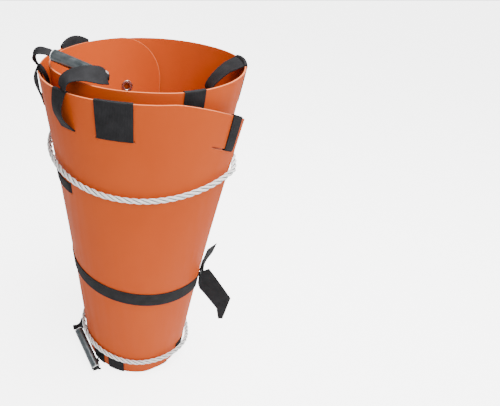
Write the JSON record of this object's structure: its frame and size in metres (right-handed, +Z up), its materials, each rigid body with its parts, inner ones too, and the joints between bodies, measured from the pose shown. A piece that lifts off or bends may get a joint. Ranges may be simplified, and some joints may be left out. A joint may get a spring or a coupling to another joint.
{
  "type": "rescue stretcher",
  "caption": "Roll-up plastic rescue stretcher standing rolled on end, with webbing loops, tube carry handles, rope hoops, eyelets and a roll strap with ring and tail.",
  "frame": {"origin": "on the floor, on the axis of the roll", "axes": "+Z up along the axis of the roll, -Y to the front where the sheet's outer end lies over the roll, +X to the right"},
  "size_m": [0.494, 0.467, 0.9551],
  "materials": {
    "sheet": "satin polyethylene sheet",
    "webbing": "woven webbing",
    "rope": "three-strand laid rope",
    "eyelet": "bright nickel",
    "grip_tube": "grey satin tube",
    "grip_ring": "pale moulded ring",
    "strap_ring": "black"
  },
  "bodies": {
    "roll": {"sheet": "sheet", "inner_front_loop_top": "webbing", "right_loop_top": "webbing", "rear_loop_top": "webbing", "left_anchor_top": "webbing", "right_anchor_top": "webbing", "front_loop_top": "webbing", "corner_loop_top": "webbing", "inner_front_loop_foot": "webbing", "right_loop_foot": "webbing", "rear_loop_foot": "webbing", "left_anchor_foot": "webbing", "right_anchor_foot": "webbing", "front_loop_foot": "webbing", "corner_loop_foot": "webbing", "upper_rope": "rope", "upper_knot": "rope", "lower_rope": "rope", "lower_knot": "rope", "top_eyelet": "eyelet", "top_washer": "eyelet", "foot_eyelet": "eyelet", "foot_washer": "eyelet", "roll_strap": "webbing", "strap_ring": "strap_ring", "tie_strap": "webbing"},
    "top_handle": {"top_handle_webbing": "webbing"},
    "top_grip": {"top_handle_tube": "grip_tube", "top_handle_rings": "grip_ring"},
    "foot_handle": {"foot_handle_webbing": "webbing"},
    "foot_grip": {"foot_handle_tube": "grip_tube", "foot_handle_rings": "grip_ring"},
    "tail": {"strap_tail": "webbing"},
    "tab": {"strap_tab": "webbing"}
  },
  "joints": [
    {"name": "top_handle_swing", "type": "hinge", "parent": "roll", "child": "top_handle", "pos_m": [-0.21869, 0, 0.90925], "axis": [0.4568, -0.8895, -0.0088], "range_deg": [-4, 60]},
    {"name": "top_grip_spin", "type": "hinge", "parent": "top_handle", "child": "top_grip", "pos_m": [-0.11804, -0.07467, 0.93085], "axis": [0.8263, -0.5373, -0.169], "continuous": true},
    {"name": "foot_handle_swing", "type": "hinge", "parent": "roll", "child": "foot_handle", "pos_m": [-0.16785, 0, 0.0048], "axis": [0.3771, -0.9262, 0], "range_deg": [-2, 110]},
    {"name": "foot_grip_spin", "type": "hinge", "parent": "foot_handle", "child": "foot_grip", "pos_m": [-0.15455, -0.10242, 0.043], "axis": [0.4682, -0.8323, -0.2968], "continuous": true},
    {"name": "strap_tail_swing", "type": "hinge", "parent": "roll", "child": "tail", "pos_m": [0.18135, -0.08784, 0.334], "axis": [0, 0, 1], "range_deg": [-80, 4]},
    {"name": "strap_tab_swing", "type": "hinge", "parent": "roll", "child": "tab", "pos_m": [0.18985, -0.06168, 0.36066], "axis": [0.309, 0.9511, 0], "range_deg": [-6, 100]}
  ]
}
